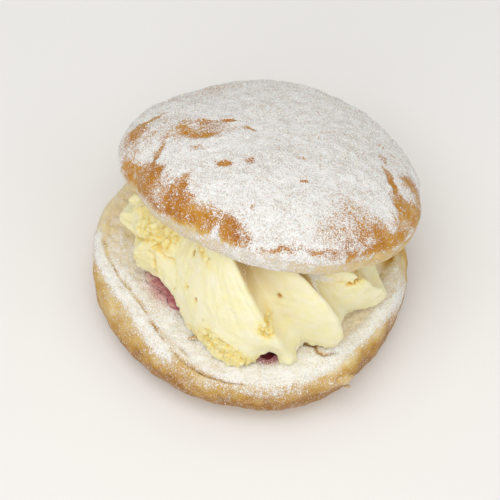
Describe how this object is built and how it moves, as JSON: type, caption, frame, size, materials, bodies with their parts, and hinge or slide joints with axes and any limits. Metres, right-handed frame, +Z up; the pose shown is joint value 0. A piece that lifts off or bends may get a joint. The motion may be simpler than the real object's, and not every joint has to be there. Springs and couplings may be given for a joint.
{
  "type": "jam and cream doughnut",
  "caption": "Round fried bun split across and propped open on piped whipped cream over a layer of raspberry jam.",
  "frame": {"origin": "middle of the overall footprint, at the height of the flat spot under the lower half", "axes": "+Z up, -Y towards the open front where the cream shows, +Y towards the back where the two halves meet, +X to the right seen from the front"},
  "size_m": [0.0986, 0.1052, 0.0707],
  "materials": {
    "bun_crumb": "soft pale crumb with a golden fried crust round it",
    "bun_crust": "golden brown fried crust under icing sugar",
    "jam": "wet dark raspberry jam",
    "cream": "soft satin pale yellow whipped cream"
  },
  "bodies": {
    "root": {"bun_base": "bun_crumb", "bun_lid": "bun_crust", "jam_layer": "jam", "cream_filling": "cream"}
  },
  "joints": []
}
